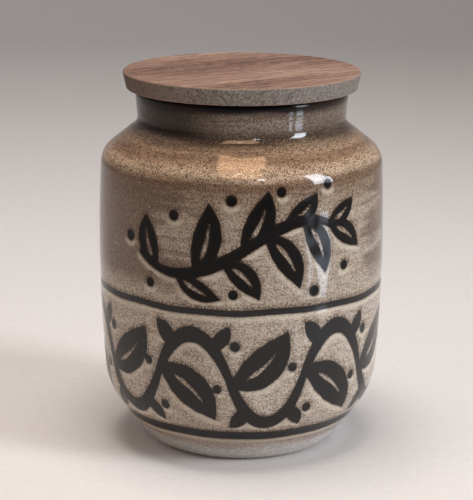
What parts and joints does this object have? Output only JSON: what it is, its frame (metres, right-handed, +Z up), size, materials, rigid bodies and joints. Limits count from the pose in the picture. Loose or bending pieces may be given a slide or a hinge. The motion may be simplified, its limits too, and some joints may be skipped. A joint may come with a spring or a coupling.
{
  "type": "biscuit jar",
  "caption": "Round stoneware biscuit jar with an upright neck and a flat turned wooden lid that lifts off, centred by a plug with a rubber seal.",
  "frame": {"origin": "centre of the foot, on the plane that the jar stands on", "axes": "+Z up along the jar's turning axis, towards the lid; -Y towards the viewer of the decorated front; +X to the viewer's right"},
  "size_m": [0.1502, 0.15, 0.1972],
  "materials": {
    "glazed_stoneware": "speckled oatmeal and brown gloss glaze with near-black satin brushwork, foot ring left bare",
    "lid_wood": "matt oiled hardwood, straight grain, sanded side",
    "plug_wood": "matt bare hardwood",
    "seal_rubber": "satin dark rubber"
  },
  "bodies": {
    "jar": {"jar_body": "glazed_stoneware"},
    "lid": {"lid_disc": "lid_wood", "lid_plug": "plug_wood", "seal_ring": "seal_rubber"}
  },
  "joints": [
    {"name": "lid_lift", "type": "slide", "parent": "jar", "child": "lid", "axis": [0, 0, 1], "range_m": [0, 0.12]}
  ]
}
